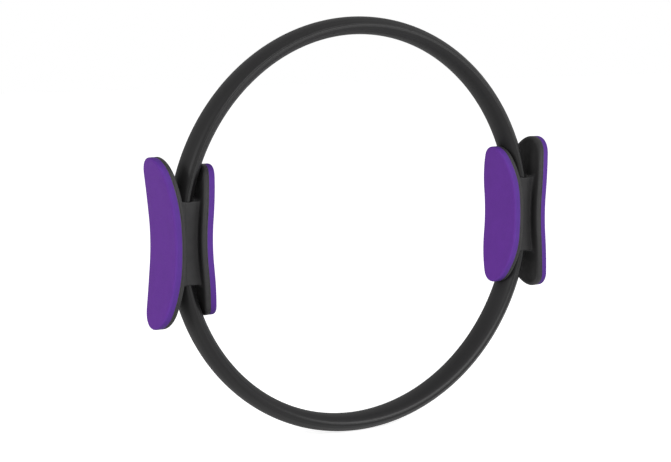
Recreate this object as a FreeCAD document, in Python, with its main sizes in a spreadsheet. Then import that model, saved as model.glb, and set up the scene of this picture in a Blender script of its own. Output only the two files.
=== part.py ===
import FreeCAD, Part
import math
import os
import Sketcher
from FreeCAD import Placement, Rotation, Vector

# A pilates ring standing upright. The hoop's axis is Y, the handles lie on +X and -X, +Z is up,
# and the origin is the centre of the hoop. All sizes are in millimetres.

SIZES = [
    ("hoop_diameter", 380.0, "hoop, outside"),
    ("hoop_radial", 16.0, "hoop section, along the radius"),
    ("hoop_axial", 28.0, "hoop section, along the axis"),
    ("strip_thickness", 3.0, "spring strip, along the radius"),
    ("strip_width", 18.0, "spring strip, along the axis"),
    ("strip_gap", 0.3, "play of the strip in its channel"),
    ("strip_end_height", 1.0, "end of each strip above or below the handle's middle"),
    ("sleeve_end_height", 20.0, "end of each sleeve above or below the handle's middle"),
    ("crown_gap", 0.3, "gap between the two upper quarters at the crown"),
    ("outer_curve_radius", 238.0, "hollow of the outer pad's face along its length"),
    ("outer_pad_length", 147.2, "outer pad"),
    ("outer_pad_width", 52.8, "outer pad"),
    ("outer_end_draw", 4.8, "outer pad, narrowing of each side before its round ends"),
    ("inner_curve_radius", 217.0, "hollow of the inner pad's face along its length"),
    ("inner_pad_length", 131.4, "inner pad"),
    ("inner_pad_width", 50.0, "inner pad"),
    ("inner_end_draw", 7.9, "inner pad, narrowing of each side before its round ends"),
    ("flank_length", 40.0, "straight stretch on each side of the pads and plates"),
    ("foam_thickness", 6.4, "pads"),
    ("foam_edge_radius", 2.0, "rounded edge of the pads' faces"),
    ("tape_thickness", 0.4, "adhesive film under each pad"),
    ("bond_gap", 0.05, "play between film, pad and plate"),
    ("plate_thickness", 4.0, "handle plates"),
    ("plate_rim", 0.1, "plate showing round its pad"),
    ("plate_edge_radius", 1.6, "rounded back edge of the plates"),
    ("inner_plate_gap", 3.0, "hoop's inside to the back of the inner plate, at its middle"),
    ("web_wall", 1.75, "web outside the side screws, along the axis"),
    ("web_height", 72.0, "web, between its flat ends"),
    ("web_fillet", 1.5, "hollow corner between the web and the plates"),
    ("web_fillet_lap", 0.12, "depth of the hollow corner's edges below the web and the plates"),
    ("socket_gap", 0.4, "play of the sleeve in its socket"),
    ("screw_shaft", 3.5, "screw shaft diameter"),
    ("screw_head", 7.0, "screw head diameter"),
    ("screw_head_height", 2.4, "screw head"),
    ("screw_bite", 1.5, "depth of the screws' tips in the outer plate"),
    ("screw_sunk", 0.6, "top of the head below the plate's face"),
    ("screw_gap", 0.1, "play of the screws in their holes, on the radius"),
    ("screw_slot", 1.1, "width of the drive cross"),
    ("screw_slot_length", 4.9, "span of the drive cross"),
    ("screw_slot_depth", 1.4, "depth of the drive cross"),
    ("strip_screw_height", 9.0, "screws through the strips, above and below the middle"),
    ("side_screw_clear", 3.5, "axes of the side screws, off the strips' edges"),
]

doc = FreeCAD.newDocument("pilates_ring")
sheet = doc.addObject("Spreadsheet::Sheet", "Sizes")
for row, (alias, value, note) in enumerate(SIZES, 1):
    sheet.set("A%d" % row, note)
    sheet.set("B%d" % row, str(value))
    sheet.setAlias("B%d" % row, alias)
doc.recompute()

ALONG_Y = Rotation(Vector(1, 0, 0), -90)
ALONG_X = Rotation(Vector(0, 1, 0), 90)
ON_YZ = Rotation(Vector(1, 1, 1), 120)


def cell(alias):
    return "Sizes." + alias


def value(expression):
    return float(sheet.evalExpression(expression))


# Lengths that several pieces share, worked out from the sheet
HOOP_OUTSIDE = "(Sizes.hoop_diameter / 2)"
HOOP_RADIUS = "(%s - Sizes.hoop_radial / 2)" % HOOP_OUTSIDE
SLEEVE_END = "asin(Sizes.sleeve_end_height / %s)" % HOOP_RADIUS
SOCKET_END = "asin((Sizes.sleeve_end_height - Sizes.socket_gap) / %s)" % HOOP_RADIUS
STRIP_END = "asin(Sizes.strip_end_height / %s)" % HOOP_RADIUS
CROWN_CUT = "asin(Sizes.crown_gap / 2 / %s)" % HOOP_RADIUS

# The outer plate's face is flush with the hoop's outside; the inner plate's back clears its inside
LAYERS = "(Sizes.foam_thickness + Sizes.tape_thickness + 2 * Sizes.bond_gap)"
OUTER_BACK = "(%s - Sizes.plate_thickness)" % HOOP_OUTSIDE
OUTER_FACE = "(%s + %s)" % (HOOP_OUTSIDE, LAYERS)
OUTER_AXIS = "(%s + Sizes.outer_curve_radius)" % OUTER_FACE
INNER_BACK = "(%s - Sizes.hoop_radial - Sizes.inner_plate_gap)" % HOOP_OUTSIDE
INNER_PLATE_FACE = "(%s - Sizes.plate_thickness)" % INNER_BACK
INNER_FACE = "(%s - %s)" % (INNER_PLATE_FACE, LAYERS)
INNER_AXIS = "(%s - Sizes.inner_curve_radius)" % INNER_FACE
SCREW_SEAT = "(%s + Sizes.screw_sunk + Sizes.screw_head_height)" % INNER_PLATE_FACE
SCREW_LENGTH = "(%s + Sizes.screw_bite - %s)" % (OUTER_BACK, SCREW_SEAT)
SIDE_SCREW = "(Sizes.strip_width / 2 + Sizes.side_screw_clear)"
WEB_WIDTH = "(2 * (%s + Sizes.screw_shaft / 2 + Sizes.web_wall))" % SIDE_SCREW
FILLET_REACH = "(Sizes.web_fillet - Sizes.web_fillet_lap)"
WEB_END = "(Sizes.web_height / 2 + %s)" % FILLET_REACH


def bind(item, **expressions):
    for name, expression in expressions.items():
        item.setExpression(name.replace("__", "."), expression)
    return item


def cylinder(name, radius, height, x="0", y="0", z="0", turn=ALONG_Y, centred=True):
    """A round bar along Y or X, centred on its place or starting there."""
    bar = doc.addObject("Part::Cylinder", name)
    bar.Placement = Placement(Vector(), turn)
    bind(bar, Radius=radius, Height=height)
    shift = " - (%s) / 2" % height if centred else ""
    if turn is ALONG_Y:
        y += shift
    else:
        x += shift
    return bind(bar, Placement__Base__x=x, Placement__Base__y=y, Placement__Base__z=z)


def box(name, x, y, z, length, width, height):
    block = doc.addObject("Part::Box", name)
    bind(block, Length=length, Width=width, Height=height)
    return bind(block, Placement__Base__x=x, Placement__Base__y=y, Placement__Base__z=z)


def cut(name, base, tool):
    result = doc.addObject("Part::Cut", name)
    result.Base = base
    result.Tool = tool
    return result


def fuse(name, pieces):
    result = doc.addObject("Part::MultiFuse", name)
    result.Shapes = pieces
    return result


def common(name, base, tool):
    result = doc.addObject("Part::Common", name)
    result.Base = base
    result.Tool = tool
    return result


def fix(sketch, kind, *where, size):
    """Adds a dimension to a sketch and ties it to the sheet."""
    index = sketch.addConstraint(Sketcher.Constraint(kind, *where, value(size)))
    sketch.setExpression("Constraints[%d]" % index, size)


def arc(centre_x, centre_y, radius, start, end):
    circle = Part.Circle(Vector(centre_x, centre_y), Vector(0, 0, 1), radius)
    return Part.ArcOfCircle(circle, start, end)


def outline_sketch(name, half_width, half_length, end_radius):
    """A long oval on the YZ plane: straight flanks, wide arcs and round ends."""
    half_flank = "Sizes.flank_length / 2"
    rest = "((%s) - %s)" % (half_length, half_flank)
    side_radius = "(((%s) ^ 2 + %s ^ 2 - 2 * %s * (%s)) / (2 * ((%s) - (%s))))" % (
        half_width, rest, rest, end_radius, half_width, end_radius)
    wide, flank, end, side = [value(size) for size in (half_width, half_flank, end_radius, side_radius)]
    end_centre = value(half_length) - end
    side_centre = wide - side
    tilt = math.atan2(end_centre - flank, -side_centre)
    half_turn = math.pi
    sketch = doc.addObject("Sketcher::SketchObject", name)
    sketch.Placement = Placement(Vector(), ON_YZ)
    sketch.addGeometry([
        Part.LineSegment(Vector(wide, -flank), Vector(wide, flank)),
        arc(side_centre, flank, side, 0, tilt),
        arc(0, end_centre, end, tilt, half_turn - tilt),
        arc(-side_centre, flank, side, half_turn - tilt, half_turn),
        Part.LineSegment(Vector(-wide, flank), Vector(-wide, -flank)),
        arc(-side_centre, -flank, side, half_turn, half_turn + tilt),
        arc(0, -end_centre, end, half_turn + tilt, 2 * half_turn - tilt),
        arc(side_centre, -flank, side, 2 * half_turn - tilt, 2 * half_turn),
    ])
    right, top, left, bottom = 0, 2, 4, 6
    start, finish, centre, origin, vertical = 1, 2, 3, -1, -2
    for edge in range(8):
        sketch.addConstraint(Sketcher.Constraint("Tangent", edge, finish, (edge + 1) % 8, start))
    for line in (right, left):
        sketch.addConstraint(Sketcher.Constraint("Vertical", line))
    fix(sketch, "DistanceX", origin, start, right, start, size=half_width)
    fix(sketch, "DistanceX", left, start, origin, start, size=half_width)
    for round_end in (top, bottom):
        sketch.addConstraint(Sketcher.Constraint("PointOnObject", round_end, centre, vertical))
        fix(sketch, "Radius", round_end, size=end_radius)
    centre_height = "(%s) - (%s)" % (half_length, end_radius)
    fix(sketch, "DistanceY", origin, start, top, centre, size=centre_height)
    fix(sketch, "DistanceY", bottom, centre, origin, start, size=centre_height)
    for wide_arc in (1, 3, 5, 7):
        fix(sketch, "Radius", wide_arc, size=side_radius)
    return sketch


def prism(name, half_width, half_length, end_radius):
    """The oval drawn out along X, past everything that it shapes."""
    solid = doc.addObject("Part::Extrusion", name)
    solid.Base = outline_sketch(name + "_outline", half_width, half_length, end_radius)
    solid.DirMode = "Custom"
    solid.Dir = Vector(1, 0, 0)
    solid.Solid = True
    return bind(solid, LengthFwd=cell("hoop_diameter"))


def curved_layer(name, axis, near, far, shape):
    """A plate of even thickness, bent about an axis along Y and trimmed to an oval."""
    depth = "2 * Sizes.outer_pad_width"
    ring = cut(name + "_bend", cylinder(name + "_far", far, depth, x=axis),
               cylinder(name + "_near", near, depth, x=axis))
    return common(name + "_layer", ring, shape)


def rounded(name, base, pick, radius):
    """Rounds the edges of a solid that the pick function chooses."""
    doc.recompute()
    result = doc.addObject("Part::Fillet", name)
    result.Base = base
    chosen = [number for number, edge in enumerate(base.Shape.Edges, 1) if pick(edge)]
    result.Edges = [(number, value(radius), value(radius)) for number in chosen]
    return result


def on_bend(axis, radius):
    """Chooses the edges that lie on a bent face of the given radius."""
    centre, reach = value(axis), value(radius)

    def pick(edge):
        middle = edge.valueAt((edge.FirstParameter + edge.LastParameter) / 2)
        return abs(math.hypot(middle.x - centre, middle.z) - reach) < reach * 1e-6
    return pick


def revolved(name, sketch, start, sweep):
    """A section turned about the hoop's axis, from an angle above +X, towards +Z."""
    solid = doc.addObject("Part::Revolution", name)
    solid.Source = sketch
    solid.Axis = Vector(0, -1, 0)
    solid.Solid = True
    bind(solid, Angle=sweep)
    solid.Placement = Placement(Vector(), Rotation(Vector(0, -1, 0), value(start)))
    solid.setExpression("Placement.Rotation.Angle", start)
    return solid


def ellipse_sketch(name, half_radial, half_axial):
    """The hoop's section on the XY plane."""
    centre = Vector(value(HOOP_RADIUS), 0)
    tip = centre + Vector(0, value(half_axial))
    side = centre - Vector(value(half_radial), 0)
    sketch = doc.addObject("Sketcher::SketchObject", name)
    sketch.addGeometry(Part.Ellipse(tip, side, centre))
    sketch.exposeInternalGeometry(0)
    long_axis, short_axis = 1, 2
    sketch.addConstraint(Sketcher.Constraint("Vertical", long_axis))
    sketch.addConstraint(Sketcher.Constraint("PointOnObject", 0, 3, -1))
    fix(sketch, "DistanceX", -1, 1, 0, 3, size=HOOP_RADIUS)
    fix(sketch, "Distance", long_axis, size="2 * (%s)" % half_axial)
    fix(sketch, "Distance", short_axis, size="2 * (%s)" % half_radial)
    return sketch


def strip_sketch(name, thickness, width):
    """The strip's section on the XY plane."""
    near = "%s - (%s) / 2" % (HOOP_RADIUS, thickness)
    low_x, half = value(near), value(width) / 2
    high_x = low_x + value(thickness)
    corners = [Vector(low_x, -half), Vector(high_x, -half), Vector(high_x, half), Vector(low_x, half)]
    sketch = doc.addObject("Sketcher::SketchObject", name)
    sketch.addGeometry([Part.LineSegment(corners[i], corners[(i + 1) % 4]) for i in range(4)])
    for edge in range(4):
        sketch.addConstraint(Sketcher.Constraint("Coincident", edge, 2, (edge + 1) % 4, 1))
        sketch.addConstraint(Sketcher.Constraint("Vertical" if edge % 2 else "Horizontal", edge))
    fix(sketch, "DistanceX", -1, 1, 0, 1, size=near)
    fix(sketch, "DistanceX", 0, 1, 0, 2, size=thickness)
    fix(sketch, "DistanceY", 1, 1, 1, 2, size=width)
    fix(sketch, "DistanceY", 0, 1, -1, 1, size="(%s) / 2" % width)
    return sketch


nodes = []


def node(label, shape):
    shape.Label = label
    nodes.append(shape)
    return shape


def mirrored(label, shape):
    """The same piece on the left handle."""
    twin = doc.addObject("Part::Mirroring", label)
    twin.Source = shape
    twin.Normal = Vector(1, 0, 0)
    return node(label, twin)


def both_handles(name, shape):
    node("right_" + name, shape)
    mirrored("left_" + name, shape)


# Arcs of the hoop: where each starts and how far it sweeps, up from +X
LOWER, UPPER = "lower", "upper_right"
CHANNEL_THICKNESS = "(Sizes.strip_thickness + 2 * Sizes.strip_gap)"
CHANNEL_WIDTH = "(Sizes.strip_width + 2 * Sizes.strip_gap)"


def arc_span(half, end):
    """Start and sweep of the lower half or the upper right quarter, from its end in the handle."""
    if half == LOWER:
        return "180 deg + %s" % end, "180 deg - 2 * %s" % end
    return end, "90 deg - %s - %s" % (end, CROWN_CUT)


def screw_axes():
    """Places of the four screws of a handle, as (y, z)."""
    lift = cell("strip_screw_height")
    return [("0", lift), ("0", "-" + lift), (SIDE_SCREW, "0"), ("-" + SIDE_SCREW, "0")]


def screw_bars(name, diameter, start, length):
    """A round bar along X at each screw of the right handle."""
    bars = []
    for number, (y, z) in enumerate(screw_axes(), 1):
        bars.append(cylinder("%s_%d" % (name, number), "(%s) / 2" % diameter, length,
                             x=start, y=y, z=z, turn=ALONG_X, centred=False))
    return bars


def make_hoop(channel, holes):
    section = ellipse_sketch("hoop_section", "Sizes.hoop_radial / 2", "Sizes.hoop_axial / 2")
    core = strip_sketch("strip_section", cell("strip_thickness"), cell("strip_width"))
    for half in (LOWER, UPPER):
        tube = revolved(half + "_tube", section, *arc_span(half, SLEEVE_END))
        sleeve = cut(half + "_sleeve", tube, channel)
        bar = revolved(half + "_bar", core, *arc_span(half, STRIP_END))
        strip = cut(half + "_strip", bar, holes)
        node(half + "_sleeve", sleeve)
        node(half + "_strip", strip)
        if half == UPPER:
            mirrored("upper_left_sleeve", sleeve)
            mirrored("upper_left_strip", strip)


def torus(name, major, minor, x, y):
    ring = doc.addObject("Part::Torus", name)
    ring.Placement = Placement(Vector(), ALONG_Y)
    return bind(ring, Radius1=major, Radius2=minor, Placement__Base__x=x, Placement__Base__y=y)


def make_web(name, axis, plate, low_x, high_x):
    """The web's share in one shell, from inside its plate to the joint between the shells."""
    foot_width = "(%s + 2 * %s)" % (WEB_WIDTH, FILLET_REACH)
    foot_radius = "(%s + Sizes.plate_thickness + %s)" % (plate, FILLET_REACH)
    foot = cylinder(name + "_foot", foot_radius, foot_width, x=axis)
    hollows = []
    for side, sign in (("back", ""), ("front", "-")):
        hollows.append(torus("%s_hollow_%s" % (name, side), foot_radius, cell("web_fillet"),
                             axis, "%s%s / 2" % (sign, foot_width)))
    span = "%s - (%s)" % (high_x, low_x)
    tall = "2 * " + WEB_END
    bounds = box(name + "_bounds", low_x, "-" + foot_width, "-" + WEB_END,
                 span, "2 * " + foot_width, tall)
    flared = cut(name + "_flared", foot, fuse(name + "_hollows", hollows))
    flare = common(name + "_flare", flared, bounds)
    block = box(name + "_block", low_x, "-%s / 2" % WEB_WIDTH, "-" + WEB_END, span, WEB_WIDTH, tall)
    inside_plate = "%s + Sizes.plate_thickness / 2" % plate
    clear = [cylinder(name + "_face", inside_plate, "2 * " + foot_width, x=axis)]
    corner_reach = "sqrt(%s ^ 2 - %s ^ 2)" % (foot_radius, WEB_END)
    if axis == OUTER_AXIS:
        corner = "(%s - %s)" % (axis, corner_reach)
        mouth_start = "(%s - Sizes.web_fillet)" % low_x
        mouth_width = "%s - %s" % (corner, mouth_start)
    else:
        corner = "(%s + %s)" % (axis, corner_reach)
        mouth_start = corner
        mouth_width = "%s + Sizes.web_fillet - %s" % (high_x, corner)
    ends = {"upper": (WEB_END, "Sizes.web_height / 2"),
            "lower": ("-" + WEB_END, "-(Sizes.web_height / 2 + Sizes.web_fillet)")}
    for end, (corner_height, mouth_bottom) in ends.items():
        clear.append(cylinder("%s_%s_corner" % (name, end), cell("web_fillet"), "2 * " + foot_width,
                              x=corner, z=corner_height))
        clear.append(box("%s_%s_mouth" % (name, end), mouth_start, "-" + foot_width, mouth_bottom,
                         mouth_width, "2 * " + foot_width, cell("web_fillet")))
    return cut(name, fuse(name + "_solid", [block, flare]), fuse(name + "_clear", clear))


def make_handle(channel, sockets, holes):
    sides = {
        "outer": (OUTER_AXIS, HOOP_RADIUS, OUTER_FACE),
        "inner": (INNER_AXIS, INNER_FACE, HOOP_RADIUS),
    }
    for side, (axis, low_x, high_x) in sides.items():
        half_width = cell(side + "_pad_width") + " / 2"
        half_length = cell(side + "_pad_length") + " / 2"
        end_radius = "%s - %s" % (half_width, cell(side + "_end_draw"))
        face = cell(side + "_curve_radius")
        film = "(%s + Sizes.foam_thickness + Sizes.bond_gap)" % face
        plate = "(%s + Sizes.tape_thickness + Sizes.bond_gap)" % film
        back = "(%s + Sizes.plate_thickness)" % plate
        rim = " + Sizes.plate_rim"
        pad_shape = prism(side + "_pad_prism", half_width, half_length, end_radius)
        plate_shape = prism(side + "_plate_prism", half_width + rim, half_length + rim, end_radius + rim)

        foam = curved_layer(side + "_foam", axis, face, "%s + Sizes.foam_thickness" % face, pad_shape)
        pad = rounded(side + "_pad", foam, on_bend(axis, face), cell("foam_edge_radius"))
        both_handles(side + "_pad", pad)
        tape = curved_layer(side + "_film", axis, film, "%s + Sizes.tape_thickness" % film, pad_shape)
        both_handles(side + "_tape", tape)

        slab = curved_layer(side + "_slab", axis, plate, back, plate_shape)
        slab = rounded(side + "_plate", slab, on_bend(axis, back), cell("plate_edge_radius"))
        web = make_web(side + "_web", axis, plate, low_x, high_x)
        shell = fuse(side + "_body", [slab, web])
        hollow = fuse(side + "_hollow", [channel] + sockets + holes[side])
        both_handles(side + "_shell", cut(side + "_shell", shell, hollow))


def make_screws():
    """Four screws, each a head, a shaft and a cross in the head."""
    heads = screw_bars("head", cell("screw_head"), SCREW_SEAT + " - Sizes.screw_head_height",
                       cell("screw_head_height"))
    shafts = screw_bars("shaft", cell("screw_shaft"), SCREW_SEAT, SCREW_LENGTH)
    screws = []
    for number, (head, shaft, (y, z)) in enumerate(zip(heads, shafts, screw_axes()), 1):
        face = SCREW_SEAT + " - Sizes.screw_head_height"
        length = cell("screw_slot_length")
        half_slot = "Sizes.screw_slot / 2"
        bars = [
            box("slot_a_%d" % number, face, "%s - %s / 2" % (y, length), "%s - %s" % (z, half_slot),
                cell("screw_slot_depth"), length, cell("screw_slot")),
            box("slot_b_%d" % number, face, "%s - %s" % (y, half_slot), "%s - %s / 2" % (z, length),
                cell("screw_slot_depth"), cell("screw_slot"), length),
        ]
        solid = fuse("screw_body_%d" % number, [head, shaft])
        screws.append(cut("screw_%d" % number, solid, fuse("cross_%d" % number, bars)))
    group = doc.addObject("Part::Compound", "screws")
    group.Links = screws
    both_handles("screws", group)


def build():
    ring_section = strip_sketch("channel_section", CHANNEL_THICKNESS, CHANNEL_WIDTH)
    channel = revolved("channel", ring_section, "0 deg", "360 deg")
    room = ellipse_sketch("socket_section", "Sizes.hoop_radial / 2 + Sizes.socket_gap",
                          "Sizes.hoop_axial / 2 + Sizes.socket_gap")
    sockets = [revolved("upper_socket", room, SOCKET_END, "90 deg - " + SOCKET_END),
               revolved("lower_socket", room, "270 deg", "90 deg - " + SOCKET_END)]
    play = " + 2 * Sizes.screw_gap"
    shaft_holes = screw_bars("shaft_hole", cell("screw_shaft") + play, SCREW_SEAT,
                             SCREW_LENGTH + " + Sizes.screw_gap")
    head_holes = screw_bars("head_hole", cell("screw_head") + play,
                            "%s - Sizes.plate_thickness" % INNER_PLATE_FACE,
                            "Sizes.plate_thickness + Sizes.screw_sunk + Sizes.screw_head_height")
    strip_holes = fuse("strip_holes", shaft_holes[:2])
    twin_holes = doc.addObject("Part::Mirroring", "twin_holes")
    twin_holes.Source = strip_holes
    twin_holes.Normal = Vector(1, 0, 0)
    make_hoop(channel, fuse("all_strip_holes", [strip_holes, twin_holes]))
    make_handle(channel, sockets, {"outer": shaft_holes, "inner": shaft_holes + head_holes})
    make_screws()


build()
doc.recompute()
for item in doc.Objects:
    if "Invalid" in item.State or "Error" in item.State:
        raise SystemExit("failed object: " + item.Label)
os.makedirs("parts", exist_ok=True)
for piece in nodes:
    if piece.Shape.isNull() or not piece.Shape.isValid():
        raise SystemExit("bad shape: " + piece.Label)
for piece in nodes:
    piece.Shape.exportStep("parts/%s.step" % piece.Label)
    print(piece.Label, len(piece.Shape.Solids), "solids", round(piece.Shape.Volume / 1000, 2), "cm3")
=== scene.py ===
import math

import bmesh
import bpy
import numpy as np
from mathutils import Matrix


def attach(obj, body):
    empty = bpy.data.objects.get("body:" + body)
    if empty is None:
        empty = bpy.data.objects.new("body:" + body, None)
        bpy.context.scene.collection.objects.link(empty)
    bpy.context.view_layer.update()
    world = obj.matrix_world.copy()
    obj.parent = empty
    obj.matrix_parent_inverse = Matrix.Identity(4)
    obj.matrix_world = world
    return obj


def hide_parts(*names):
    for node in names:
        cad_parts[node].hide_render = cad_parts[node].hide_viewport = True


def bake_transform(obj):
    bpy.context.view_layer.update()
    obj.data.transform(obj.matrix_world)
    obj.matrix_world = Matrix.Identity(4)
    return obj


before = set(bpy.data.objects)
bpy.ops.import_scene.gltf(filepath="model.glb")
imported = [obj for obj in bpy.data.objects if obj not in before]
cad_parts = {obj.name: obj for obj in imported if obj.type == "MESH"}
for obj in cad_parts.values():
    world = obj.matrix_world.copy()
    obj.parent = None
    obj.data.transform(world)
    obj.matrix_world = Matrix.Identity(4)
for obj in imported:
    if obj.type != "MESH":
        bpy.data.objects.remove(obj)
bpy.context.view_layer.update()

import openvdb
from mathutils import Matrix, Vector

# A pilates ring standing upright: the hoop's axis is Y, the handles lie on +X and -X, and +Z is up.
# Sizes are in millimetres, and those of the hoop and handles are the same as in the solids.

MM = 0.001
SIDES = {"left": -1, "right": 1}
HALVES = {"lower": -1, "upper": 1}

# Hoop and the strip inside it

HOOP_RADIUS = 182.0
HOOP_HALF_RADIAL = 8.0
HOOP_HALF_AXIAL = 14.0
HOOP_END_HEIGHT = 20.0
STRIP_HALF_RADIAL = 1.5
STRIP_HALF_AXIAL = 9.0
STRIP_END_HEIGHT = 1.0

# Plates, pads and web of a handle

FOAM = 6.4
FILM = 0.4
BOND_GAP = 0.05
LAYERS = FOAM + FILM + 2 * BOND_GAP
PLATE = 4.0
PLATE_RIM = 0.1
INNER_PLATE_GAP = 3.0
FLANK = 20.0
WEB_HALF_WIDTH = 16.0
WEB_HALF_HEIGHT = 36.0
SOCKET_GAP = 0.4
OUTER_BEND = 238.0
INNER_BEND = 217.0
OUTER = {
    "axis": HOOP_RADIUS + HOOP_HALF_RADIAL + LAYERS + OUTER_BEND,
    "radius": OUTER_BEND,
    "half_width": 26.4,
    "half_length": 73.6,
    "draw": 4.8,
}
INNER = {
    "axis": HOOP_RADIUS - HOOP_HALF_RADIAL - INNER_PLATE_GAP - PLATE - LAYERS - INNER_BEND,
    "radius": INNER_BEND,
    "half_width": 25.0,
    "half_length": 65.7,
    "draw": 7.9,
}


# Materials

class Nodes:
    """A small helper for building a material's node tree."""

    def __init__(self, name):
        self.material = bpy.data.materials.new(name)
        self.material.use_nodes = True
        self.tree = self.material.node_tree
        self.shader = self.tree.nodes["Principled BSDF"]

    def add(self, kind, **values):
        node = self.tree.nodes.new(kind)
        for key, value in values.items():
            if key in node.inputs:
                node.inputs[key].default_value = value
            else:
                setattr(node, key, value)
        return node

    def link(self, source, target):
        self.tree.links.new(source, target)

    def feed(self, socket, source):
        """Links a source to one of the shader's own sockets."""
        self.link(source, self.shader.inputs[socket])

    def set(self, socket, value):
        """Gives one of the shader's own sockets a value that is the same all over."""
        self.shader.inputs[socket].default_value = value

    def coordinates(self, kind="Object", scale=(1, 1, 1)):
        place = self.add("ShaderNodeTexCoord")
        mapping = self.add("ShaderNodeMapping")
        mapping.inputs["Scale"].default_value = scale
        self.link(place.outputs[kind], mapping.inputs["Vector"])
        return mapping.outputs["Vector"]

    def attribute(self, name):
        """A number that the mesh holds at each point."""
        return self.add("ShaderNodeAttribute", attribute_name=name).outputs["Fac"]

    def noise(self, where, scale):
        node = self.add("ShaderNodeTexNoise", Scale=scale, Detail=3.0, Roughness=0.55)
        self.link(where, node.inputs["Vector"])
        return node.outputs["Fac"]

    def cells(self, where, scale):
        node = self.add("ShaderNodeTexVoronoi", Scale=scale)
        self.link(where, node.inputs["Vector"])
        return node.outputs["Distance"]

    def tint(self, source, tone, low, high, start=0.3, stop=0.7):
        """A tone that goes from a low to a high share of itself as a pattern rises from start to stop."""
        node = self.add("ShaderNodeValToRGB")
        for point, place, share in zip(node.color_ramp.elements, (start, stop), (low, high)):
            point.position = place
            point.color = (*(channel * share for channel in tone), 1.0)
        self.link(source, node.inputs["Fac"])
        return node.outputs["Color"]

    def spread(self, source, low, high, start=0.3, stop=0.7):
        """A number that goes from low to high as a pattern rises from start to stop."""
        node = self.add("ShaderNodeMapRange")
        for key, value in (("From Min", start), ("From Max", stop), ("To Min", low), ("To Max", high)):
            node.inputs[key].default_value = value
        self.link(source, node.inputs["Value"])
        return node.outputs["Result"]

    def shifted(self, base, where, change):
        """A base number, changed by the given amount where an attribute is one."""
        node = self.add("ShaderNodeMath", operation="MULTIPLY_ADD")
        self.link(where, node.inputs[0])
        node.inputs[1].default_value = change
        self.link(base, node.inputs[2])
        return node.outputs[0]

    def mix(self, factor, first, second):
        """A mix of two colours, through the colour sockets of the node: inputs 6 and 7, and output 2."""
        node = self.add("ShaderNodeMix", data_type="RGBA")
        self.link(factor, node.inputs[0])
        self.link(first, node.inputs[6])
        self.link(second, node.inputs[7])
        return node.outputs[2]

    def bump(self, height, strength, distance, under=None):
        node = self.add("ShaderNodeBump", Strength=strength, Distance=distance)
        self.link(height, node.inputs["Height"])
        if under is not None:
            self.link(under, node.inputs["Normal"])
        return node.outputs["Normal"]


def moulded_plastic():
    """Satin black plastic with a fine spark-eroded grain, rougher on the plates' backs, and darkened there by
    painted shade.
    """
    make = Nodes("handle_plastic")
    where = make.coordinates()
    back = make.attribute("matte_back_painted_shade")
    satin = (0.0185, 0.0181, 0.0187)
    # The second, darker tone is painted shade for the plates' backs.
    matte_painted_shade = (0.0062, 0.006, 0.0061)
    cloud = make.noise(where, scale=60.0)
    tones = [make.tint(cloud, tone, low=0.9, high=1.1) for tone in (satin, matte_painted_shade)]
    # The back mask mixes the painted shade into the colour.
    make.feed("Base Color", make.mix(back, *tones))
    polish = make.spread(make.noise(where, scale=140.0), low=0.58, high=0.68)
    make.feed("Roughness", make.shifted(polish, back, change=0.2))
    coarse = make.bump(make.cells(where, scale=900.0), strength=0.25, distance=0.00012)
    grain = make.noise(where, scale=2600.0)
    make.feed("Normal", make.bump(grain, strength=0.3, distance=0.0001, under=coarse))
    make.set("Specular IOR Level", 0.26)
    return make.material


def hoop_plastic():
    """Satin black cover with faint lines drawn along the hoop, smoother on its front and back crests."""
    make = Nodes("hoop_plastic")
    where = make.coordinates()
    crest = make.attribute("crest")
    colour = (0.0056, 0.0054, 0.0057)
    make.feed("Base Color", make.tint(make.noise(where, scale=35.0), colour, low=0.9, high=1.1))
    drawn = make.noise(make.coordinates("UV", scale=(9.0, 1500.0, 1.0)), scale=1.0)
    polish = make.spread(drawn, low=0.62, high=0.72)
    make.feed("Roughness", make.shifted(polish, crest, change=-0.36))
    lines = make.bump(drawn, strength=0.12, distance=0.00008)
    grain = make.noise(where, scale=2200.0)
    make.feed("Normal", make.bump(grain, strength=0.14, distance=0.00006, under=lines))
    make.set("Specular IOR Level", 0.24)
    return make.material


def foam():
    """Closed-cell foam sheet: a matte skin with fine pores, and a darker, bluer copy of its colour on the
    pad's sides as painted shade.
    """
    make = Nodes("pad_foam")
    where = make.coordinates()
    side = make.attribute("side_painted_shade")
    skin = (0.1035, 0.0225, 0.25)
    # The edge tone is painted shade: a darker, bluer copy of the skin for the pad's sides.
    edge = (0.072, 0.0203, 0.205)
    cloud = make.noise(where, scale=90.0)
    tones = [make.tint(cloud, tone, low=0.95, high=1.05, start=0.25, stop=0.75) for tone in (skin, edge)]
    # The side mask mixes that painted shade into the colour.
    make.feed("Base Color", make.mix(side, *tones))
    pores = make.cells(where, scale=1700.0)
    make.feed("Roughness", make.spread(pores, low=0.62, high=0.8, start=0.1, stop=0.6))
    pitted = make.bump(pores, strength=0.22, distance=0.00012)
    waves = make.noise(where, scale=420.0)
    make.feed("Normal", make.bump(waves, strength=0.1, distance=0.0003, under=pitted))
    make.set("Specular IOR Level", 0.25)
    return make.material


def plain_inside(name, colour, roughness, metal, scale, stretch):
    """Pieces closed inside the handles: film, strip and screws."""
    make = Nodes(name)
    grain = make.noise(make.coordinates(scale=stretch), scale)
    make.feed("Base Color", make.tint(grain, colour, low=0.9, high=1.06))
    make.feed("Roughness", make.spread(grain, low=roughness - 0.06, high=roughness + 0.06))
    make.feed("Normal", make.bump(grain, strength=0.15, distance=0.00005))
    make.set("Metallic", metal)
    return make.material


# Meshes

MERGE_REACH = 0.02


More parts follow.
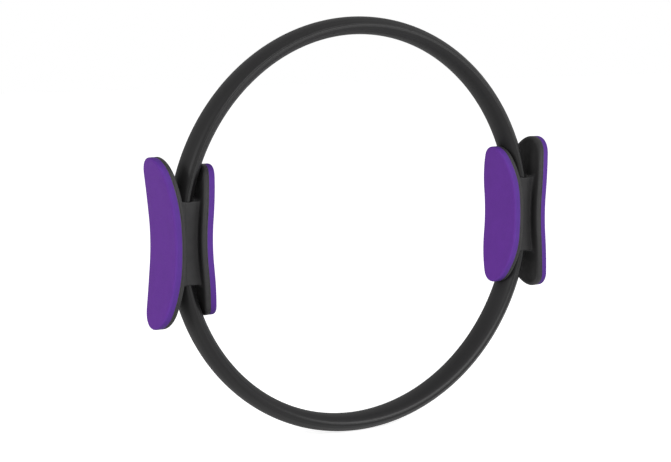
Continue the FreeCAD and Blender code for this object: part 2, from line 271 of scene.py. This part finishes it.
def new_piece(name, points, faces, material):
    """Makes a smooth object from points in millimetres."""
    mesh = bpy.data.meshes.new(name)
    places = [tuple(point) for point in np.asarray(points) * MM]
    mesh.from_pydata(places, [], [tuple(face) for face in faces])
    mesh.polygons.foreach_set("use_smooth", [True] * len(mesh.polygons))
    mesh.materials.append(material)
    piece = bpy.data.objects.new(name, mesh)
    bpy.context.scene.collection.objects.link(piece)
    return piece


def mark(piece, name, values):
    """Gives each point of a piece a number, for its material to read."""
    attribute = piece.data.attributes.new(name, "FLOAT", "POINT")
    attribute.data.foreach_set("value", values)


def face_outwards(piece, flat=()):
    """Gives the flat faces sharp borders, merges points that fall together and turns the faces outwards."""
    work = bmesh.new()
    work.from_mesh(piece.data)
    work.faces.ensure_lookup_table()
    for index in flat:
        for edge in work.faces[index].edges:
            edge.smooth = False
    bmesh.ops.remove_doubles(work, verts=work.verts, dist=MERGE_REACH * MM)
    bmesh.ops.recalc_face_normals(work, faces=work.faces)
    work.to_mesh(piece.data)
    work.free()


def ring_faces(rings, count):
    """Four-sided faces between rings of points, each ring closed on itself."""
    faces = []
    for ring in range(rings - 1):
        here, there = ring * count, (ring + 1) * count
        for index in range(count):
            after = (index + 1) % count
            faces.append((here + index, here + after, there + after, there + index))
    return faces


# Hoop: four quarters, each swept from the handle on its side to the crown or the lowest point

WELT_RISE = 0.12
WELT_HALF = 1.3
WELT_EASE = 0.35
CREST_REACH = 5.5
CREST_FADE = 3.0
CREST_POINTS = 29
FLANK_POINTS = 36
STRIP_EASE = 0.4
STRIP_CORNER_STEPS = 3
HOOP_STEPS = 110


def hoop_section():
    """The oval section as (radial, axial) points, with a narrow flat welt along its front and its back."""
    tip = math.degrees(math.asin(2 * WELT_HALF / HOOP_HALF_RADIAL))
    flank = np.linspace(tip - 90.0, 90.0 - tip, FLANK_POINTS)[1:-1]
    front = np.linspace(-90.0 - tip, tip - 90.0, CREST_POINTS)
    angles = np.radians(np.concatenate([front, flank, front + 180.0, flank + 180.0]))
    radial = HOOP_HALF_RADIAL * np.cos(angles)
    axial = HOOP_HALF_AXIAL * np.sin(angles)
    welt = np.clip((WELT_HALF + WELT_EASE - np.abs(radial)) / (2 * WELT_EASE), 0, 1)
    welt = welt * welt * (3 - 2 * welt)
    top = np.sign(axial) * (HOOP_HALF_AXIAL + WELT_RISE)
    return np.stack([radial, axial + welt * (top - axial)], 1)


def strip_section():
    """The strip's section with eased corners."""
    radial, axial = STRIP_HALF_RADIAL - STRIP_EASE, STRIP_HALF_AXIAL - STRIP_EASE
    corners = []
    for sign_a, sign_b, turn in ((1, 1, 0), (-1, 1, 90), (-1, -1, 180), (1, -1, 270)):
        for step in range(STRIP_CORNER_STEPS + 1):
            angle = math.radians(turn + 90 * step / STRIP_CORNER_STEPS)
            corners.append((sign_a * radial + STRIP_EASE * math.cos(angle),
                            sign_b * axial + STRIP_EASE * math.sin(angle)))
    return np.array(corners)


def unwrap(piece, section, turns):
    """Lays a swept piece out flat, in metres along the hoop and round the section."""
    count = len(section)
    closed = np.concatenate([section, section[:1]])
    around = np.concatenate([[0], np.cumsum(np.linalg.norm(np.diff(closed, axis=0), axis=1))]) * MM
    uv = piece.data.uv_layers.new(name="UVMap")
    for face in piece.data.polygons:
        points = [piece.data.loops[corner].vertex_index for corner in face.loop_indices]
        last = any(point % count == count - 1 for point in points)
        for corner, point in zip(face.loop_indices, points):
            ring, index = divmod(point, count)
            step = count if last and index == 0 else index
            uv.data[corner].uv = (turns[ring] * HOOP_RADIUS * MM, around[step])


def swept_quarter(name, section, side, rise, end_height, material):
    """A section swept from the handle on one side to the crown or the lowest point."""
    turns = np.linspace(math.asin(end_height / HOOP_RADIUS), math.pi / 2, HOOP_STEPS + 1)
    reach = HOOP_RADIUS + section[:, 0]
    rings = []
    for turn in turns:
        across, up = side * reach * math.cos(turn), rise * reach * math.sin(turn)
        rings.append(np.stack([across, section[:, 1], up], 1))
    count = len(section)
    faces = ring_faces(len(rings), count)
    caps = [len(faces), len(faces) + 1]
    for ring in (0, HOOP_STEPS):
        faces.append(tuple(range(ring * count, (ring + 1) * count)))
    piece = new_piece(name, np.concatenate(rings), faces, material)
    unwrap(piece, section, turns)
    crest = np.clip((CREST_REACH - np.abs(section[:, 0])) / CREST_FADE, 0, 1)
    mark(piece, "crest", np.tile(crest, len(rings)))
    face_outwards(piece, caps)
    return piece


def make_hoop(cover, glass_fibre):
    """Sleeves and strips, swept in quarters from each handle to the crown and the lowest point, in place of
    the solids.
    """
    kinds = (("sleeve", hoop_section(), HOOP_END_HEIGHT, cover, "hoop_cover"),
             ("strip", strip_section(), STRIP_END_HEIGHT, glass_fibre, "spring_strip"))
    for half, rise in HALVES.items():
        for hand, side in SIDES.items():
            node = "lower" if half == "lower" else "upper_" + hand
            for kind, section, height, material, slot in kinds:
                name = "hoop_%s_%s_%s" % (half, hand, kind)
                piece = swept_quarter(name, section, side, rise, height, material)
                if half == "lower":
                    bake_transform(piece)
                else:
                    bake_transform(piece)
                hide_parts("%s_%s" % (node, kind))


# Handles' moulded bodies: distance fields, in millimetres, for the right handle

PLATE_BACK_EDGE = 1.9
PLATE_FACE_EDGE = 0.3
WEB_EDGE = 1.2
WEB_FILLET = 1.5
SOCKET_EDGE = 0.5
MOUTH_FLARE = 0.9
MOUTH_DEPTH = 4.0
JOINT_GAP = 0.1
MATTE_SHADE_FADE = 2.0

# Grid that the bodies are meshed on, with each shell's span along X and the reach along Y and Z

VOXEL = 0.8
ON_JOINT = 0.55 * VOXEL
FIELD_LIMIT = 10.0
SETTLE_STEPS = 4
NUDGE = 0.02
LEAST_SLOPE = 0.2
TINY = 1e-6
SHELLS = {
    "outer": {"way": 1, "span": (180.8, 203.2), "plate": OUTER},
    "inner": {"way": -1, "span": (152.0, 183.2), "plate": INNER},
}
SHELL_REACH = (29.6, 75.2)


def oval_arcs(shape, grow):
    """A pad's long oval: half-sizes, end radius, side radius and centre, and the angle where they meet."""
    wide = shape["half_width"] + grow
    long = shape["half_length"] + grow
    end = wide - shape["draw"]
    rest = long - FLANK
    side = (wide ** 2 + rest ** 2 - 2 * rest * end) / (2 * (wide - end))
    side_y = wide - side
    tilt = math.atan2(long - end - FLANK, -side_y)
    return wide, long, end, side, side_y, tilt


def oval_distance(y, z, shape, grow=0.0):
    """Signed distance to a pad's long oval: straight flanks, wide arcs and round ends."""
    y, z = np.abs(y), np.abs(z)
    wide, long, end, side, side_y, tilt = oval_arcs(shape, grow)
    on_side = np.arctan2(z - FLANK, y - side_y) <= tilt
    from_side = np.hypot(y - side_y, z - FLANK) - side
    from_end = np.hypot(y, z - long + end) - end
    return np.where(z <= FLANK, y - wide, np.where(on_side, from_side, from_end))


def rounded_and(a, b, radius):
    """Where two solids overlap, with the edge between their faces rounded."""
    outside = np.hypot(np.maximum(a + radius, 0), np.maximum(b + radius, 0))
    return np.minimum(np.maximum(a, b) + radius, 0) + outside - radius


def rounded_or(a, b, radius):
    """Two solids together, with the corner between their faces hollowed out."""
    inside = np.hypot(np.maximum(radius - a, 0), np.maximum(radius - b, 0))
    return np.maximum(radius, np.minimum(a, b)) - inside


def plate_distance(x, y, z, shape):
    """Signed distance to a bent plate, and to all that lies behind the middle of its thickness."""
    turn = np.hypot(x - shape["axis"], z) - shape["radius"] - LAYERS
    layer = np.abs(turn - PLATE / 2) - PLATE / 2
    edge = np.where(turn > PLATE / 2, PLATE_BACK_EDGE, PLATE_FACE_EDGE)
    return rounded_and(layer, oval_distance(y, z, shape, PLATE_RIM), edge), PLATE / 2 - turn


def hoop_distance(x, y, z, gap):
    """Distance to the hoop with a gap round it."""
    across, along = HOOP_HALF_RADIAL + gap, HOOP_HALF_AXIAL + gap
    out = np.hypot(x, z) - HOOP_RADIUS
    scale = np.hypot(out / across, y / along)
    slope = np.hypot(out / across ** 2, y / along ** 2)
    return (scale - 1) * scale / np.maximum(slope, TINY)


def handle_distance(x, y, z):
    """Signed distance to the moulded body: two plates on a web, with a socket for the hoop at each end."""
    outer, outer_side = plate_distance(x, y, z, OUTER)
    inner, inner_side = plate_distance(x, y, z, INNER)
    high = np.abs(z)
    web = rounded_and(np.abs(y) - WEB_HALF_WIDTH, high - WEB_HALF_HEIGHT, WEB_EDGE)
    web = np.maximum(web, np.maximum(outer_side, inner_side))
    body = rounded_or(rounded_or(outer, web, WEB_FILLET), inner, WEB_FILLET)
    flare = MOUTH_FLARE * np.clip(1 - np.abs(high - WEB_HALF_HEIGHT) / MOUTH_DEPTH, 0, 1)
    hollow = hoop_distance(x, y, z, SOCKET_GAP + flare)
    socket = np.maximum(hollow, HOOP_END_HEIGHT - SOCKET_GAP - high)
    return rounded_and(body, -socket, SOCKET_EDGE)


def settle(points, distance, free=(1, 1, 1)):
    """Moves points onto the zero of a distance field, along the free axes."""
    for _ in range(SETTLE_STEPS):
        value = distance(*points.T)
        slopes = []
        for way in np.eye(3):
            ahead, behind = points + NUDGE * way, points - NUDGE * way
            slopes.append((distance(*ahead.T) - distance(*behind.T)) / (2 * NUDGE))
        slope = np.stack(slopes, 1) * free
        move = value / np.maximum((slope ** 2).sum(1), LEAST_SLOPE)
        points = points - slope * np.clip(move, -VOXEL / 2, VOXEL / 2)[:, None]
    return points


def surface_of(distance, low, high):
    """Points and four-sided faces where a distance field is zero."""
    axes = [np.arange(start, stop + VOXEL, VOXEL) for start, stop in zip(low, high)]
    field = distance(*np.meshgrid(*axes, indexing="ij")).astype(np.float32)
    grid = openvdb.FloatGrid(FIELD_LIMIT)
    grid.copyFromArray(np.clip(field, -FIELD_LIMIT, FIELD_LIMIT))
    points, quads = grid.convertToQuads(0.0)
    points = np.array(points, float) * VOXEL + np.array(low)
    return settle(points, distance), np.array(quads)


def shell_surface(way, span):
    """One shell of the right handle, on the outer (1) or inner (-1) side of a crisp joint."""
    joint = HOOP_RADIUS + way * JOINT_GAP / 2
    low = (span[0], -SHELL_REACH[0], -SHELL_REACH[1])
    high = (span[1], SHELL_REACH[0], SHELL_REACH[1])

    def distance(x, y, z):
        return np.maximum(handle_distance(x, y, z), way * (joint - x))

    points, quads = surface_of(distance, low, high)
    on_joint = np.abs(points[:, 0] - joint) < ON_JOINT
    points[on_joint, 0] = joint
    border = on_joint & (handle_distance(*points.T) > -ON_JOINT)
    points[border] = settle(points[border], handle_distance, free=(0, 1, 1))
    flat = np.where(on_joint[quads].all(1))[0]
    return points, quads, flat.tolist()


def matte_back_painted_shade(points, shape):
    """One on the back of a plate, fading towards its rim and the web, and zero elsewhere: it marks where the
    plastic is rougher and where painted shade darkens it.
    """
    x, y, z = points.T
    off_back = np.abs(np.hypot(x - shape["axis"], z) - shape["radius"] - LAYERS - PLATE)
    from_rim = -oval_distance(y, z, shape, PLATE_RIM) - PLATE_BACK_EDGE
    from_web = np.maximum(np.abs(y) - WEB_HALF_WIDTH, np.abs(z) - WEB_HALF_HEIGHT) - WEB_FILLET
    fade = np.clip(np.minimum(from_rim, from_web) / MATTE_SHADE_FADE, 0, 1)
    return np.where(off_back < VOXEL / 2, fade, 0.0)


def make_shells(plastic):
    """Each handle's outer and inner shell, the left ones mirrored from the right ones."""
    for kind, shell in SHELLS.items():
        points, quads, flat = shell_surface(shell["way"], shell["span"])
        matte_painted_shade = matte_back_painted_shade(points, shell["plate"])
        for hand, side in SIDES.items():
            node = "%s_%s_shell" % (hand, kind)
            piece = new_piece(node + "_body", points * (side, 1, 1), quads, plastic)
            # This mask marks the plates' backs, which are rougher and darkened by painted shade.
            mark(piece, "matte_back_painted_shade", matte_painted_shade)
            face_outwards(piece, flat)
            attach(piece, hand + "_handle")
            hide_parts(node)


# Pads: rings of oval points, bent to the plates

PAD_EDGE = 2.2
PAD_EDGE_STEPS = 8
PAD_BACK_EDGE = 0.25
PAD_BACK_STEPS = 3
PAD_SIDE_DEPTHS = (4.6, 3.6)
PAD_CROWN = 0.35
PAD_CROWN_REACH = 14.0
PAD_FACE_RINGS = 15
PAD_LAST_END = 0.6
PAD_ROUND = 176


def oval_points(shape, inset):
    """Points round a pad's oval, drawn in by an inset, the same number at each inset."""
    wide, long, end, side, side_y, tilt = oval_arcs(shape, -inset)
    each = PAD_ROUND // 4
    flank, arc, cap = each // 4, each // 2, each // 4
    quarter = [(wide, FLANK * step / flank) for step in range(flank)]
    for step in range(arc):
        angle = tilt * step / arc
        quarter.append((side_y + side * math.cos(angle), FLANK + side * math.sin(angle)))
    for step in range(cap):
        angle = tilt + (math.pi / 2 - tilt) * step / cap
        quarter.append((end * math.cos(angle), long - end + end * math.sin(angle)))
    quarter = np.array(quarter + [(0.0, long)])
    half = np.concatenate([quarter, (quarter * (-1, 1))[-2::-1]])
    return np.concatenate([half, (half * (-1, -1))[1:-1]])


def pad_rings(shape):
    """Rings from a pad's back, up its side and over its face: inset, depth and share of the sides' painted
    shade.
    """
    rings = []
    for step in range(PAD_BACK_STEPS + 1):
        angle = math.pi / 2 * step / PAD_BACK_STEPS
        inset, rise = PAD_BACK_EDGE * (1 - math.sin(angle)), PAD_BACK_EDGE * (1 - math.cos(angle))
        rings.append((inset, FOAM - rise, 1.0))
    for depth in PAD_SIDE_DEPTHS:
        rings.append((0.0, depth, 1.0))
    for step in range(PAD_EDGE_STEPS + 1):
        angle = math.pi / 2 * step / PAD_EDGE_STEPS
        inset, depth = PAD_EDGE * (1 - math.cos(angle)), PAD_EDGE * (1 - math.sin(angle))
        rings.append((inset, depth, 1.0 - step / PAD_EDGE_STEPS))
    most = shape["half_width"] - shape["draw"] - PAD_LAST_END
    for inset in np.linspace(PAD_EDGE, most, PAD_FACE_RINGS + 1)[1:]:
        rings.append((inset, 0.0, 0.0))
    return rings


def oval_cap(first, count):
    """Faces across an oval ring that starts at a given point, in rows from its upper end to its lower one."""
    half, quarter = count // 2, count // 4
    low = (quarter + half) % count
    rows = []
    for index in range(1, half - 1):
        near = [(quarter + offset) % count for offset in (index, index + 1)]
        far = [(quarter - offset) % count for offset in (index, index + 1)]
        rows.append((near[0], near[1], far[1], far[0]))
    rows.append((quarter, quarter + 1, (quarter - 1) % count))
    rows.append((low, (low + 1) % count, (low - 1) % count))
    return [tuple(first + index for index in row) for row in rows]


def pad_surface(shape, way):
    """Points, faces and shares of the sides' painted shade of a right-hand pad, before (-1) or beyond (1) its
    bend's axis.
    """
    points, side_shade_share = [], []
    for inset, depth, edge in pad_rings(shape):
        oval = oval_points(shape, inset)
        near_edge = max(0.0, 1 - inset / PAD_CROWN_REACH)
        drop = PAD_CROWN * near_edge ** 2 if depth < FOAM / 2 else 0.0
        bend = shape["radius"] + depth + drop
        swing = np.sqrt(bend ** 2 - oval[:, 1] ** 2)
        points.append(np.stack([shape["axis"] + way * swing, oval[:, 0], oval[:, 1]], 1))
        side_shade_share += [edge] * len(oval)
    count = len(points[0])
    faces = ring_faces(len(points), count)
    for ring in (0, len(points) - 1):
        faces += oval_cap(ring * count, count)
    return np.concatenate(points), faces, side_shade_share


def make_pads(material):
    """Each handle's outer and inner pad, the left ones mirrored from the right ones."""
    for kind, shape, way in (("outer", OUTER, -1), ("inner", INNER, 1)):
        points, faces, side_shade_share = pad_surface(shape, way)
        for hand, side in SIDES.items():
            node = "%s_%s_pad" % (hand, kind)
            piece = new_piece(node + "_foam", points * (side, 1, 1), faces, material)
            # This mask marks the pad's sides, which get painted shade.
            mark(piece, "side_painted_shade", side_shade_share)
            face_outwards(piece)
            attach(piece, hand + "_handle")
            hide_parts(node)


def dress_hidden_nodes():
    """Gives the films and screws, which are the CAD solids, materials of their own."""
    film = plain_inside("adhesive_film", (0.03, 0.028, 0.026), roughness=0.6, metal=0.0,
                        scale=500.0, stretch=(1, 1, 1))
    steel = plain_inside("screw_steel", (0.5, 0.5, 0.51), roughness=0.35, metal=1.0,
                         scale=900.0, stretch=(0.2, 1, 1))
    for name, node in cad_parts.items():
        for ending, material in (("_tape", film), ("_screws", steel)):
            if name.endswith(ending):
                node.data.materials.clear()
                node.data.materials.append(material)


# Studio, in metres, degrees and watts

CAMERA_AZIMUTH = -32.05
CAMERA_ELEVATION = 7.82
CAMERA_ROLL = -0.149
CAMERA_DISTANCE = 1.4208
CAMERA_LENS = 83.42
SENSOR_WIDTH = 36.0
CAMERA_SHIFT = (-0.035, -0.0073)
SOFTBOX_PLACE = (1.21, -3.6, 1.55)
SOFTBOX_SIZE = (4.6, 2.76)
SOFTBOX_POWER = 168.0
FILL_AZIMUTH = -74.0
FILL_ELEVATION = 12.0
FILL_SPREAD = 18.0
FILL_STRENGTH = 1.9
WORLD_LIGHT = 0.22
FLOOR_HEIGHT = -(HOOP_RADIUS + HOOP_HALF_RADIAL) * MM
FLOOR_HALF = 6.0
FLOOR_GLOW = 0.72
WHITE = (1.0, 1.0, 1.0, 1.0)


def way_from_ring(azimuth, elevation):
    """The direction from the ring to a camera or lamp; azimuth 0 is straight in front."""
    turn, tilt = math.radians(azimuth), math.radians(elevation)
    return Vector((math.sin(turn) * math.cos(tilt), -math.cos(turn) * math.cos(tilt), math.sin(tilt)))


def place_in_scene(name, data, matrix):
    thing = bpy.data.objects.new(name, data)
    thing.matrix_world = matrix
    bpy.context.scene.collection.objects.link(thing)
    return thing


def make_camera():
    turn, roll = math.radians(CAMERA_AZIMUTH), math.radians(CAMERA_ROLL)
    back = way_from_ring(CAMERA_AZIMUTH, CAMERA_ELEVATION)
    level = Vector((math.cos(turn), math.sin(turn), 0.0))
    upright = back.cross(level)
    right = level * math.cos(roll) + upright * math.sin(roll)
    up = upright * math.cos(roll) - level * math.sin(roll)
    facing = Matrix((right, up, back)).transposed().to_4x4()
    data = bpy.data.cameras.new("camera")
    data.lens = CAMERA_LENS
    data.sensor_width = SENSOR_WIDTH
    data.shift_x, data.shift_y = CAMERA_SHIFT
    matrix = Matrix.Translation(back * CAMERA_DISTANCE) @ facing
    bpy.context.scene.camera = place_in_scene("camera", data, matrix)


def make_softbox():
    """A large softbox in front of the ring, aimed at its middle."""
    data = bpy.data.lights.new("front_softbox", "AREA")
    data.shape = "RECTANGLE"
    data.size, data.size_y = SOFTBOX_SIZE
    data.energy = SOFTBOX_POWER
    place = Vector(SOFTBOX_PLACE)
    facing = (-place).to_track_quat("-Z", "Y").to_matrix().to_4x4()
    place_in_scene("front_softbox", data, Matrix.Translation(place) @ facing)


def make_fill():
    """Light from the left that falls off nowhere, as from a large, distant softbox."""
    data = bpy.data.lights.new("left_fill", "SUN")
    data.angle = math.radians(FILL_SPREAD)
    data.energy = FILL_STRENGTH
    back = way_from_ring(FILL_AZIMUTH, FILL_ELEVATION)
    place_in_scene("left_fill", data, back.to_track_quat("Z", "Y").to_matrix().to_4x4())


def background_rays(tree):
    """One for rays that show the background itself: to the camera, in gloss and through glass."""
    path = tree.nodes.new("ShaderNodeLightPath")
    total = path.outputs["Is Camera Ray"]
    for name in ("Is Glossy Ray", "Is Transmission Ray"):
        most = tree.nodes.new("ShaderNodeMath")
        most.operation = "MAXIMUM"
        tree.links.new(total, most.inputs[0])
        tree.links.new(path.outputs[name], most.inputs[1])
        total = most.outputs[0]
    return total


def make_world():
    """A background that shows white and lights the ring evenly at a lower level."""
    world = bpy.data.worlds.new("studio")
    bpy.context.scene.world = world
    world.use_nodes = True
    tree = world.node_tree
    strength = tree.nodes.new("ShaderNodeMapRange")
    strength.inputs["To Min"].default_value = WORLD_LIGHT
    strength.inputs["To Max"].default_value = 1.0
    tree.links.new(background_rays(tree), strength.inputs["Value"])
    background = tree.nodes["Background"]
    background.inputs["Color"].default_value = WHITE
    tree.links.new(strength.outputs["Result"], background.inputs["Strength"])


def floor_paper():
    """Pale paper whose lit part shows white, with the ring's shadow left on it."""
    make = Nodes("floor_paper")
    tone = (0.9, 0.9, 0.9)
    make.feed("Base Color", make.tint(make.noise(make.coordinates(), scale=300.0), tone, low=0.99, high=1.01))
    make.set("Roughness", 0.9)
    make.set("Specular IOR Level", 0.1)
    make.set("Emission Color", WHITE)
    glow = make.add("ShaderNodeMapRange")
    glow.inputs["To Max"].default_value = FLOOR_GLOW
    make.link(background_rays(make.tree), glow.inputs["Value"])
    make.feed("Emission Strength", glow.outputs["Result"])
    return make.material


def make_floor():
    mesh = bpy.data.meshes.new("floor")
    corners = [(-FLOOR_HALF, -FLOOR_HALF), (FLOOR_HALF, -FLOOR_HALF), (FLOOR_HALF, FLOOR_HALF),
               (-FLOOR_HALF, FLOOR_HALF)]
    mesh.from_pydata([(x, y, FLOOR_HEIGHT) for x, y in corners], [], [(0, 1, 2, 3)])
    mesh.materials.append(floor_paper())
    floor = place_in_scene("floor", mesh, Matrix.Identity(4))


def make_studio():
    make_camera()
    make_world()
    make_floor()
    make_softbox()
    make_fill()
    bpy.context.scene.view_settings.view_transform = "Standard"


def main():
    glass_fibre = plain_inside("glass_fibre", (0.55, 0.52, 0.34), roughness=0.4, metal=0.0,
                               scale=260.0, stretch=(1, 8, 1))
    make_hoop(hoop_plastic(), glass_fibre)
    make_shells(moulded_plastic())
    make_pads(foam())
    dress_hidden_nodes()
    make_studio()


main()
bpy.context.view_layer.update()
